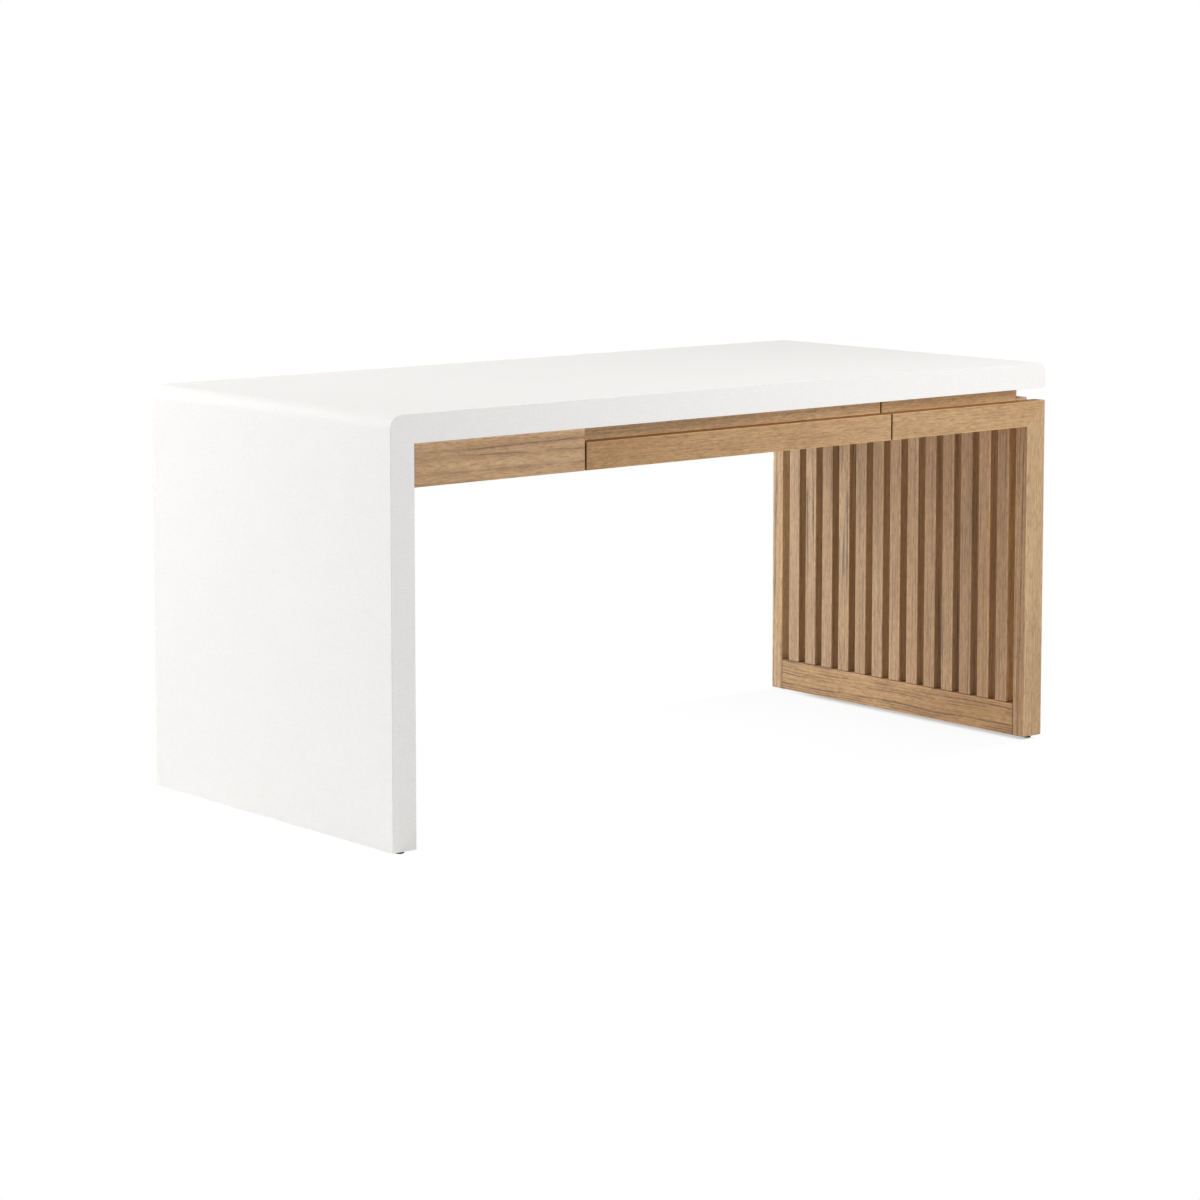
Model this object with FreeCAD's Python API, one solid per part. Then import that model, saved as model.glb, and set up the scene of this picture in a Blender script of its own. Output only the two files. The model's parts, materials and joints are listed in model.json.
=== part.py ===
import FreeCAD, Part
import math
import os

from FreeCAD import Vector

# Overall sizes of the desk, in millimetres
WIDTH = 1610.0
DEPTH = 730.0
HEIGHT = 750.0

# White waterfall shell: desk top and left leg in one piece
SHELL_THICKNESS = 50.0
SHELL_CORNER_RADIUS = 25.0
SHELL_NOSE_RADIUS = 22.0
SHELL_ARRIS = 1.2

# Timber front, posts and rear rail
FRAME_THICKNESS = 30.0
RAIL_HEIGHT = 50.0
POST_WIDTH = 50.0
FINGER_GAP = 25.0
LEFT_APRON_LENGTH = 375.0
DRAWER_OPENING = 760.0
TIMBER_ARRIS = 1.0

# Slatted end frame
END_THICKNESS = 30.0
END_BOTTOM_RAIL_HEIGHT = 63.0
END_TOP_RAIL_RISE = 5.0
SLAT_COUNT = 13
SLAT_WIDTH = 30.0
SLAT_RECESS = 1.0
SLAT_TENON_THICKNESS = 12.0
SLAT_TENON_SHOULDER = 5.0
SLAT_TENON_LENGTH = 12.0
RAIL_TENON_THICKNESS = 12.0
RAIL_TENON_SHOULDER = 12.0
RAIL_TENON_LENGTH = 18.0

# Loose splines hidden in the two mitres
SPLINE_THICKNESS = 4.0
SPLINE_LENGTH = 44.0
SPLINE_WIDTH = 24.0
SPLINE_INSET = 9.0

# Case boards between the shell and the end frame
CASE_THICKNESS = 18.0
CASE_LIFT = 2.0
CLEAT_SIZE = 20.0
CLEAT_END_GAP = 40.0

# Drawer
DRAWER_GAP = 3.0
SLIDE_SPACE = 13.0
SUBFRONT_THICKNESS = 15.0
DRAWER_SIDE_THICKNESS = 12.0
DRAWER_SIDE_LIFT = 8.0
DRAWER_SIDE_DROP = 11.0
DRAWER_BACK_THICKNESS = 12.0
DRAWER_BACK_INSET = 8.0
DRAWER_BOTTOM_THICKNESS = 6.0
DRAWER_BOTTOM_LIFT = 8.0
HOUSING_DEPTH = 5.0

# Telescopic drawer slides
SLIDE_LENGTH = 450.0
SLIDE_SETBACK = 2.0
SLIDE_HEIGHT = 35.0
SLIDE_WALL = 1.2
SLIDE_LIP = 10.0
SLIDE_PLAY = 0.3

# Screws as shank diameter, head diameter, head height and length under the head
SLIDE_SCREW = (3.5, 6.4, 1.8, 10.0)
FRONT_SCREW = (4.0, 8.0, 2.5, 35.0)
RAIL_SCREW = (4.5, 9.0, 2.8, 38.0)
LEG_SCREW = (5.0, 10.0, 3.0, 42.0)
CLEAT_SCREW = (4.5, 9.0, 2.8, 42.0)
BOTTOM_SCREW = (3.0, 6.0, 1.6, 22.0)
FRAME_BOLT = (8.0, 16.0, 4.0, 38.0)
INSERT_DIAMETER = 12.0
INSERT_LENGTH = 18.0
SCREW_END_MARGIN = 60.0
# Share of a screw head's width that is flat on top, and the sides of small round pieces
SCREW_CROWN = 0.6
SMALL_ROUND_SIDES = 8

# Dowels in the butt joints
DOWEL_DIAMETER = 8.0
DOWEL_FACE_DEPTH = 12.0
DOWEL_END_DEPTH = 16.0
DOWEL_EDGE_MARGIN = 17.0

# Nail-on glides under the leg and the posts
GLIDE_DIAMETER = 16.0
GLIDE_HEIGHT = 5.0
GLIDE_CHAMFER = 1.2
GLIDE_NAIL_DIAMETER = 2.5
GLIDE_NAIL_LENGTH = 15.0
GLIDE_INSET = 15.0

# Clearances of glued joints and of drilled holes, all round
JOINT_CLEARANCE = 0.15
HOLE_CLEARANCE = 0.15

# Planes that the pieces share
x_left = -WIDTH / 2
x_right = WIDTH / 2
y_front = -DEPTH / 2
y_back = DEPTH / 2
z_foot = GLIDE_HEIGHT
z_under = HEIGHT - SHELL_THICKNESS
z_rail_top = z_under - FINGER_GAP
z_rail_bottom = z_rail_top - RAIL_HEIGHT
z_rail_middle = z_rail_bottom + RAIL_HEIGHT / 2
x_leg = x_left + SHELL_THICKNESS
x_post = x_right - POST_WIDTH
y_rail_back = y_front + FRAME_THICKNESS
y_rear_rail = y_back - FRAME_THICKNESS
x_opening_left = x_leg + LEFT_APRON_LENGTH
x_opening_right = x_opening_left + DRAWER_OPENING
x_drawer_middle = (x_opening_left + x_opening_right) / 2

# Planes of the slatted end frame
x_end_outer = x_post + END_THICKNESS
x_end_middle = x_post + END_THICKNESS / 2
z_end_bottom = z_foot + END_BOTTOM_RAIL_HEIGHT
z_end_top = z_rail_top + END_TOP_RAIL_RISE
slat_gap = (DEPTH - 2 * FRAME_THICKNESS - SLAT_COUNT * SLAT_WIDTH) / (SLAT_COUNT + 1)
slat_depth = END_THICKNESS - 2 * SLAT_RECESS

# Planes of the case
z_case = z_rail_bottom + CASE_LIFT
y_fascia_back = y_rail_back + CASE_THICKNESS
y_rear_fascia = y_rear_rail - CASE_THICKNESS
x_case_right = x_post - CASE_THICKNESS
x_case_left = x_leg + CASE_THICKNESS

# Planes of the drawer box and its slides
x_box_left = x_opening_left + SLIDE_SPACE
x_box_right = x_opening_right - SLIDE_SPACE
y_subfront_back = y_rail_back + SUBFRONT_THICKNESS
y_slide = y_subfront_back + SLIDE_SETBACK
y_box_back = y_slide + SLIDE_LENGTH
z_subfront_top = z_under - DRAWER_GAP
z_side_bottom = z_case + DRAWER_SIDE_LIFT
z_side_top = z_subfront_top - DRAWER_SIDE_DROP
z_panel = z_side_bottom + DRAWER_BOTTOM_LIFT
z_panel_top = z_panel + DRAWER_BOTTOM_THICKNESS
y_panel_back = y_box_back - DRAWER_BACK_INSET
y_drawer_back = y_panel_back - DRAWER_BACK_THICKNESS
z_slide = (z_side_bottom + z_side_top) / 2

X_AXIS = Vector(1, 0, 0)
Y_AXIS = Vector(0, 1, 0)
Z_AXIS = Vector(0, 0, 1)


def block(x, y, z, grow=0.0):
    """A rectangular solid between three pairs of planes, grown all round by a clearance."""
    size = [high - low + 2 * grow for low, high in (x, y, z)]
    return Part.makeBox(*size, Vector(x[0] - grow, y[0] - grow, z[0] - grow))


def front_profile(points, y):
    """A solid whose outline is drawn in the front view and runs between two planes in depth."""
    corners = [Vector(px, y[0], pz) for px, pz in points]
    face = Part.Face(Part.makePolygon(corners + corners[:1]))
    return face.extrude(Vector(0, y[1] - y[0], 0))


def parallel_edges(shape, axis):
    """The straight edges of a shape that run along an axis."""
    edges = []
    for edge in shape.Edges:
        run = edge.Vertexes[-1].Point - edge.Vertexes[0].Point
        if run.Length > 0 and abs(run.dot(axis)) > 0.999 * run.Length:
            edges.append(edge)
    return edges


def eased(shape, *axes):
    """The shape with its edges along the given axes eased by the timber's arris."""
    edges = [edge for axis in axes for edge in parallel_edges(shape, axis)]
    return shape.makeChamfer(TIMBER_ARRIS, edges)


def spread(low, high, count, margin=SCREW_END_MARGIN):
    """Evenly spaced places along a length, with a margin at both ends."""
    step = (high - low - 2 * margin) / (count - 1)
    return [low + margin + step * index for index in range(count)]


def ring(middle, axis, diameter):
    """The few-sided outline that small round pieces and their holes are drawn with."""
    turn = FreeCAD.Rotation(Z_AXIS, axis)
    corners = []
    for index in range(SMALL_ROUND_SIDES):
        angle = 2 * math.pi * (index + 0.5) / SMALL_ROUND_SIDES
        arm = Vector(math.cos(angle), math.sin(angle), 0) * (diameter / 2)
        corners.append(middle + turn.multVec(arm))
    return Part.makePolygon(corners + corners[:1])


def rod(start, axis, length, diameter, grow=0.0):
    """A small round bar from a point along an axis, grown all round and at its far end."""
    return Part.Face(ring(start, axis, diameter + 2 * grow)).extrude(axis * (length + grow))


def screw(seat, axis, kind):
    """A screw whose raised head sits on a face at seat and whose shank runs along the axis."""
    shank, head, rise, length = kind
    crown = ring(seat - axis * rise, axis, head * SCREW_CROWN)
    cap = Part.makeLoft([crown, ring(seat, axis, head)], True, True)
    return cap.fuse(rod(seat, axis, length, shank)).removeSplitter()


def screw_hole(seat, axis, kind):
    """The hole that a screw's shank runs in."""
    return rod(seat, axis, kind[3], kind[0], HOLE_CLEARANCE)


def waterfall_shell():
    """Desk top and left leg: one L with a rounded outer corner and a rounded right nose."""
    diagonal = 1 - math.sqrt(0.5)
    corner = SHELL_CORNER_RADIUS
    nose = SHELL_NOSE_RADIUS
    p_foot = Vector(x_left, y_front, z_foot)
    p_side = Vector(x_left, y_front, HEIGHT - corner)
    p_corner = Vector(x_left + corner * diagonal, y_front, HEIGHT - corner * diagonal)
    p_top_left = Vector(x_left + corner, y_front, HEIGHT)
    p_top_right = Vector(x_right - nose, y_front, HEIGHT)
    p_nose = Vector(x_right - nose * diagonal, y_front, HEIGHT - nose * diagonal)
    p_end = Vector(x_right, y_front, HEIGHT - nose)
    p_end_under = Vector(x_right, y_front, z_under)
    p_inner = Vector(x_leg, y_front, z_under)
    p_inner_foot = Vector(x_leg, y_front, z_foot)
    outline = Part.Wire([
        Part.makeLine(p_foot, p_side),
        Part.Arc(p_side, p_corner, p_top_left).toShape(),
        Part.makeLine(p_top_left, p_top_right),
        Part.Arc(p_top_right, p_nose, p_end).toShape(),
        Part.makeLine(p_end, p_end_under),
        Part.makeLine(p_end_under, p_inner),
        Part.makeLine(p_inner, p_inner_foot),
        Part.makeLine(p_inner_foot, p_foot),
    ])
    solid = Part.Face(outline).extrude(Vector(0, DEPTH, 0))
    rims = []
    for edge in solid.Edges:
        depth = [vertex.Point.y for vertex in edge.Vertexes]
        outside = any(vertex.Point.x < x_leg - 1 or vertex.Point.z > z_under + 1 for vertex in edge.Vertexes)
        if outside and max(depth) - min(depth) < 1:
            rims.append(edge)
    return solid.makeChamfer(SHELL_ARRIS, rims)


def left_apron():
    """Full-height fixed panel at the left of the front."""
    solid = block((x_leg, x_opening_left), (y_front, y_rail_back), (z_rail_bottom, z_under))
    bottom = [edge for edge in parallel_edges(solid, X_AXIS) if edge.CenterOfMass.z < z_rail_middle]
    return solid.makeChamfer(TIMBER_ARRIS, bottom)


def mitred_rail(start, y):
    """A rail that ends in a mitre at its right end."""
    outline = [
        (start, z_rail_bottom),
        (x_post, z_rail_bottom),
        (x_right, z_rail_top),
        (start, z_rail_top),
    ]
    return eased(front_profile(outline, y), X_AXIS)


def mitred_post(y):
    """A post that meets its rail in the mitre."""
    outline = [
        (x_post, z_foot),
        (x_right, z_foot),
        (x_right, z_rail_top),
        (x_post, z_rail_bottom),
    ]
    return eased(front_profile(outline, y), Z_AXIS)


def mitre_spline(y_face, inward, grow=0.0):
    """The loose spline across a mitre, set in from the frame's outer face."""
    along = math.atan2(RAIL_HEIGHT, POST_WIDTH)
    middle = Vector((x_post + x_right) / 2, y_face + inward * SPLINE_INSET, z_rail_middle)
    half = (SPLINE_LENGTH / 2, SPLINE_THICKNESS / 2, SPLINE_WIDTH / 2)
    solid = block(*[(-size, size) for size in half], grow)
    turn = FreeCAD.Rotation(Y_AXIS, -math.degrees(along))
    solid.Placement = FreeCAD.Placement(middle, turn)
    return solid


def rail_tenons(grow=0.0):
    """The two stub tenons of the end frame's bottom rail."""
    half = RAIL_TENON_THICKNESS / 2
    x = (x_end_middle - half, x_end_middle + half)
    z = (z_foot + RAIL_TENON_SHOULDER, z_end_bottom - RAIL_TENON_SHOULDER)
    front = block(x, (y_rail_back - RAIL_TENON_LENGTH, y_rail_back), z, grow)
    rear = block(x, (y_rear_rail, y_rear_rail + RAIL_TENON_LENGTH), z, grow)
    return [front, rear]


def slat_middle(index):
    """Where a slat's centre line lies in depth."""
    return y_rail_back + slat_gap + SLAT_WIDTH / 2 + index * (SLAT_WIDTH + slat_gap)


def slat_tenons(index, grow=0.0):
    """The stub tenons at the foot and the head of a slat."""
    half_x = SLAT_TENON_THICKNESS / 2
    half_y = SLAT_WIDTH / 2 - SLAT_TENON_SHOULDER
    x = (x_end_middle - half_x, x_end_middle + half_x)
    y = (slat_middle(index) - half_y, slat_middle(index) + half_y)
    foot = block(x, y, (z_end_bottom - SLAT_TENON_LENGTH, z_end_bottom), grow)
    head = block(x, y, (z_rail_bottom, z_rail_bottom + SLAT_TENON_LENGTH), grow)
    return [foot, head]


def slat(index):
    """One upright slat with a stub tenon at each end."""
    half_x = slat_depth / 2
    half_y = SLAT_WIDTH / 2
    x = (x_end_middle - half_x, x_end_middle + half_x)
    y = (slat_middle(index) - half_y, slat_middle(index) + half_y)
    body = eased(block(x, y, (z_end_bottom, z_rail_bottom)), Z_AXIS)
    return body.fuse(slat_tenons(index)).removeSplitter()


def end_rails():
    """Bottom and top rail of the end frame, mortised for the slats."""
    x = (x_post, x_end_outer)
    y = (y_rail_back, y_rear_rail)
    mortises = [tenon for index in range(SLAT_COUNT) for tenon in slat_tenons(index, JOINT_CLEARANCE)]
    bottom = eased(block(x, y, (z_foot, z_end_bottom)), Y_AXIS).cut(mortises)
    bottom = bottom.fuse(rail_tenons()).removeSplitter()
    top = eased(block(x, y, (z_rail_bottom, z_end_top)), Y_AXIS).cut(mortises)
    return bottom, top


def case_boards():
    """The boards of the case under the top, by name."""
    z = (z_case, z_under)
    inside = (y_fascia_back, y_rear_fascia)
    behind_apron = (y_rail_back, y_rear_fascia)
    left_of_opening = (x_opening_left - CASE_THICKNESS, x_opening_left)
    right_of_opening = (x_opening_right, x_opening_right + CASE_THICKNESS)
    return {
        "right_fascia": block((x_opening_right, x_post), (y_rail_back, y_fascia_back), z),
        "rear_fascia": block((x_leg, x_post), (y_rear_fascia, y_rear_rail), z),
        "case_left_end": block((x_leg, x_case_left), behind_apron, z),
        "case_right_end": block((x_case_right, x_post), inside, z),
        "left_partition": block(left_of_opening, behind_apron, z),
        "right_partition": block(right_of_opening, inside, z),
    }


def cleats():
    """Battens that carry the screws into the top, one along each board of the case."""
    z = (z_under - CLEAT_SIZE, z_under)
    y = (y_fascia_back + CLEAT_END_GAP, y_rear_fascia - CLEAT_END_GAP)
    x_starts = [
        x_case_left,
        x_opening_left - CASE_THICKNESS - CLEAT_SIZE,
        x_opening_right + CASE_THICKNESS,
        x_case_right - CLEAT_SIZE,
    ]
    battens = [block((start, start + CLEAT_SIZE), y, z) for start in x_starts]
    x_rear = (x_opening_left + CLEAT_END_GAP, x_opening_right - CLEAT_END_GAP)
    battens.append(block(x_rear, (y_rear_fascia - CLEAT_SIZE, y_rear_fascia), z))
    return battens


def cleat_screw_seats():
    """Where the cleats' screws sit, three to a cleat."""
    seats = []
    for batten in cleats():
        bounds = batten.BoundBox
        if bounds.YLength > bounds.XLength:
            places = [(bounds.Center.x, y) for y in spread(bounds.YMin, bounds.YMax, 3)]
        else:
            places = [(x, bounds.Center.y) for x in spread(bounds.XMin, bounds.XMax, 3)]
        seats += [Vector(x, y, bounds.ZMin) for x, y in places]
    return seats


def dowel_places():
    """The dowels as a point on the joint, the board that is drilled in its face and the other one."""
    heights = (z_case + DOWEL_EDGE_MARGIN, z_under - DOWEL_EDGE_MARGIN)
    half = CASE_THICKNESS / 2
    rows = [
        (x_case_left - half, y_rail_back, "left_apron", "case_left_end", 1),
        (x_opening_left - half, y_rail_back, "left_apron", "left_partition", 1),
        (x_opening_right + half, y_fascia_back, "right_fascia", "right_partition", 1),
        (x_post - half, y_fascia_back, "right_fascia", "case_right_end", 1),
        (x_case_left - half, y_rear_fascia, "rear_fascia", "case_left_end", -1),
        (x_opening_left - half, y_rear_fascia, "rear_fascia", "left_partition", -1),
        (x_opening_right + half, y_rear_fascia, "rear_fascia", "right_partition", -1),
        (x_post - half, y_rear_fascia, "rear_fascia", "case_right_end", -1),
    ]
    places = [(Vector(x, y, z), face, end, way) for x, y, face, end, way in rows for z in heights]
    z_end_dowel = z_end_top - DOWEL_EDGE_MARGIN
    places.append((Vector(x_end_middle, y_rail_back, z_end_dowel), "right_front_rail", "end_top_rail", 1))
    places.append((Vector(x_end_middle, y_rear_rail, z_end_dowel), "rear_rail", "end_top_rail", -1))
    return places


def dowel(point, way, grow=0.0):
    """A dowel across a joint: shallow in the drilled face, deep in the end grain."""
    axis = Y_AXIS * way
    start = point - axis * (DOWEL_FACE_DEPTH + grow)
    return rod(start, axis, DOWEL_FACE_DEPTH + DOWEL_END_DEPTH + grow, DOWEL_DIAMETER, grow)


def drawer_boards():
    """The boards of the drawer, by name, housed and grooved into each other."""
    panel = (z_panel, z_panel_top)
    front_x = (x_opening_left + DRAWER_GAP, x_opening_right - DRAWER_GAP)
    front = block(front_x, (y_front, y_rail_back), (z_rail_bottom, z_rail_top))
    subfront = block(front_x, (y_rail_back, y_subfront_back), (z_case, z_subfront_top))
    y_housed = y_subfront_back - HOUSING_DEPTH
    left_x = (x_box_left, x_box_left + DRAWER_SIDE_THICKNESS)
    right_x = (x_box_right - DRAWER_SIDE_THICKNESS, x_box_right)
    side_z = (z_side_bottom, z_side_top)
    groove_x = (left_x[1] - HOUSING_DEPTH, right_x[0] + HOUSING_DEPTH)
    bottom = block(groove_x, (y_housed, y_panel_back), panel)
    groove = block(groove_x, (y_housed, y_box_back + DRAWER_BACK_INSET), panel, JOINT_CLEARANCE)
    back_z = (z_panel_top + JOINT_CLEARANCE, z_side_top)
    back = block(groove_x, (y_drawer_back, y_panel_back), back_z)
    back_housing = block(groove_x, (y_drawer_back, y_panel_back), (z_panel_top, z_side_top), JOINT_CLEARANCE)
    sides = []
    housings = []
    for x in (left_x, right_x):
        side = block(x, (y_housed, y_box_back), side_z)
        sides.append(side.cut([groove, back_housing]))
        housings.append(block(x, (y_housed, y_subfront_back), side_z, JOINT_CLEARANCE))
    return {
        "drawer_front": eased(front, X_AXIS, Z_AXIS),
        "drawer_box_front": subfront.cut(housings + [groove]),
        "drawer_left_side": sides[0],
        "drawer_right_side": sides[1],
        "drawer_back": back,
        "drawer_bottom": bottom,
    }


def channel(web, lip, half_height):
    """A C channel along the slide: the web stands at one place and the flanges reach to the other."""
    inner = web + math.copysign(SLIDE_WALL, lip - web)
    low = z_slide - half_height
    high = z_slide + half_height
    outline = [
        (web, low),
        (lip, low),
        (lip, low + SLIDE_WALL),
        (inner, low + SLIDE_WALL),
        (inner, high - SLIDE_WALL),
        (lip, high - SLIDE_WALL),
        (lip, high),
        (web, high),
    ]
    return front_profile(outline, (y_slide, y_slide + SLIDE_LENGTH))


def slide_members():
    """Outer, middle and inner member of the left slide, nested with a running play."""
    step = SLIDE_WALL + SLIDE_PLAY
    outer_half = SLIDE_HEIGHT / 2
    web_middle = x_opening_left + SLIDE_WALL + SLIDE_SCREW[2] + SLIDE_PLAY
    lip_inner = web_middle + step
    lip_middle = x_box_left - step
    return {
        "outer": channel(x_opening_left, x_opening_left + SLIDE_LIP, outer_half),
        "middle": channel(web_middle, lip_middle, outer_half - step),
        "inner": channel(x_box_left, lip_inner, outer_half - 2 * step),
    }


def slide_screw_seats(x):
    """Where the screws of a slide member sit along its length."""
    return [Vector(x, y, z_slide) for y in spread(y_slide, y_slide + SLIDE_LENGTH, 3)]


def mirrored(shape):
    """The same piece at the other side of the drawer."""
    return shape.mirror(Vector(x_drawer_middle, 0, 0), X_AXIS)


def glide(x, y):
    """A nail-on glide: a round foot with a chamfered rim and its nail."""
    foot = Part.makeCylinder(GLIDE_DIAMETER / 2, GLIDE_HEIGHT, Vector(x, y, 0))
    rims = [edge for edge in foot.Edges if edge.Closed and edge.CenterOfMass.z < GLIDE_HEIGHT / 2]
    foot = foot.makeChamfer(GLIDE_CHAMFER, rims)
    nail = rod(Vector(x, y, GLIDE_HEIGHT), Z_AXIS, GLIDE_NAIL_LENGTH, GLIDE_NAIL_DIAMETER)
    return foot.fuse(nail).removeSplitter()


def glide_places():
    """The four glides by name."""
    x_leg_middle = x_left + SHELL_THICKNESS / 2
    x_post_middle = x_right - POST_WIDTH / 2
    rows = {"front": y_front + GLIDE_INSET, "back": y_back - GLIDE_INSET}
    sides = {"left": x_leg_middle, "right": x_post_middle}
    return {f"glide_{row}_{side}": (x, y) for row, y in rows.items() for side, x in sides.items()}


pieces = {
    "waterfall_shell": waterfall_shell(),
    "left_apron": left_apron(),
    "right_front_rail": mitred_rail(x_opening_right, (y_front, y_rail_back)),
    "rear_rail": mitred_rail(x_leg, (y_rear_rail, y_back)),
    "front_post": mitred_post((y_front, y_rail_back)),
    "back_post": mitred_post((y_rear_rail, y_back)),
}
pieces["end_bottom_rail"], pieces["end_top_rail"] = end_rails()
for number in range(SLAT_COUNT):
    pieces[f"slat_{number + 1:02d}"] = slat(number)
pieces.update(case_boards())
pieces.update(drawer_boards())
cuts = {}


def drill(node, cutter):
    """Note a hole or pocket to cut in a piece."""
    cuts.setdefault(node, []).append(cutter)


def fasten(group, seats, axis, kind, through):
    """Add a group of like screws and drill every piece that they pass through."""
    solids = [screw(seat, axis, kind) for seat in seats]
    pieces.setdefault(group, []).extend(solids)
    for node in through:
        for seat in seats:
            drill(node, screw_hole(seat, axis, kind))


# Mitre splines and the end frame's stub tenons
for name, face, inward in (("front", y_front, 1), ("rear", y_back, -1)):
    pieces[f"mitre_spline_{name}"] = mitre_spline(face, inward)
    rail = "right_front_rail" if name == "front" else "rear_rail"
    post = "front_post" if name == "front" else "back_post"
    for node in (rail, post):
        drill(node, mitre_spline(face, inward, JOINT_CLEARANCE))
for post, tenon in zip(("front_post", "back_post"), rail_tenons(JOINT_CLEARANCE)):
    drill(post, tenon)

# Cleats under the top and the dowels of the case
pieces["top_cleats"] = cleats()
fasten("cleat_screws", cleat_screw_seats(), Z_AXIS, CLEAT_SCREW, ["top_cleats", "waterfall_shell"])
pieces["case_dowels"] = []
for point, face, end, way in dowel_places():
    pieces["case_dowels"].append(dowel(point, way))
    drill(face, dowel(point, way, HOLE_CLEARANCE))
    drill(end, dowel(point, way, HOLE_CLEARANCE))

# Screws through the case into the leg and the rails
leg_seats = [Vector(x_case_left, y, z_rail_middle) for y in spread(y_fascia_back, y_rear_fascia, 3)]
fasten("leg_screws", leg_seats, -X_AXIS, LEG_SCREW, ["case_left_end", "waterfall_shell"])
front_seats = [Vector(x, y_fascia_back, z_rail_middle) for x in spread(x_opening_right, x_post, 3)]
fasten("rail_screws", front_seats, -Y_AXIS, RAIL_SCREW, ["right_fascia", "right_front_rail"])
rear_seats = [Vector(x, y_rear_fascia, z_rail_middle) for x in spread(x_leg, x_post, 5)]
fasten("rail_screws", rear_seats, Y_AXIS, RAIL_SCREW, ["rear_fascia", "rear_rail"])

# Bolts and threaded inserts between the case and the end frame
bolt_seats = [Vector(x_case_right, y, z_rail_middle) for y in spread(y_fascia_back, y_rear_fascia, 3)]
fasten("frame_bolts", bolt_seats, X_AXIS, FRAME_BOLT, ["case_right_end"])
pieces["frame_inserts"] = []
for seat in bolt_seats:
    mouth = Vector(x_post, seat.y, seat.z)
    sleeve = rod(mouth, X_AXIS, INSERT_LENGTH, INSERT_DIAMETER)
    pieces["frame_inserts"].append(sleeve.cut(screw_hole(seat, X_AXIS, FRAME_BOLT)))
    drill("end_top_rail", rod(mouth, X_AXIS, INSERT_LENGTH, INSERT_DIAMETER, HOLE_CLEARANCE))
    drill("end_top_rail", screw_hole(seat, X_AXIS, FRAME_BOLT))

# Drawer screws
z_front_screw = (z_panel_top + z_rail_top) / 2
fasten(
    "drawer_front_screws",
    [Vector(x, y_subfront_back, z_front_screw) for x in spread(x_box_left, x_box_right, 4)],
    -Y_AXIS,
    FRONT_SCREW,
    ["drawer_box_front", "drawer_front"],
)
fasten(
    "drawer_bottom_screws",
    [Vector(x, (y_drawer_back + y_panel_back) / 2, z_panel) for x in spread(x_box_left, x_box_right, 3)],
    Z_AXIS,
    BOTTOM_SCREW,
    ["drawer_bottom", "drawer_back"],
)

# Drawer slides at the left, mirrored to the right
members = slide_members()
outer_seats = slide_screw_seats(x_opening_left + SLIDE_WALL)
inner_seats = slide_screw_seats(x_box_left - SLIDE_WALL)
pieces["slide_screws_case"] = []
pieces["slide_screws_drawer"] = []
for side in ("left", "right"):
    placed = mirrored if side == "right" else lambda shape: shape
    for kind, member in members.items():
        pieces[f"slide_{kind}_{side}"] = placed(member)
    for seat in outer_seats:
        pieces["slide_screws_case"].append(placed(screw(seat, -X_AXIS, SLIDE_SCREW)))
        hole = placed(screw_hole(seat, -X_AXIS, SLIDE_SCREW))
        drill(f"slide_outer_{side}", hole)
        drill(f"{side}_partition", hole)
    for seat in inner_seats:
        pieces["slide_screws_drawer"].append(placed(screw(seat, X_AXIS, SLIDE_SCREW)))
        hole = placed(screw_hole(seat, X_AXIS, SLIDE_SCREW))
        drill(f"slide_inner_{side}", hole)
        drill(f"drawer_{side}_side", hole)

# Glides
glide_hosts = {"left": ("waterfall_shell",) * 2, "right": ("front_post", "back_post")}
for name, (x, y) in glide_places().items():
    pieces[name] = glide(x, y)
    host = glide_hosts[name.split("_")[2]][0 if "front" in name else 1]
    nail_start = Vector(x, y, GLIDE_HEIGHT)
    drill(host, rod(nail_start, Z_AXIS, GLIDE_NAIL_LENGTH, GLIDE_NAIL_DIAMETER, HOLE_CLEARANCE))

os.makedirs("parts", exist_ok=True)
for name, shape in pieces.items():
    if isinstance(shape, list):
        shape = Part.makeCompound(shape)
    if name in cuts:
        shape = shape.cut(cuts[name])
    shape.exportStep(f"parts/{name}.step")
print(len(pieces), "pieces")
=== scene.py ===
"""Looks of a waterfall writing desk: white shell, timber front with one drawer, and an open slatted end."""
import contextlib
import json
import math
import random
from typing import NamedTuple

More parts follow.
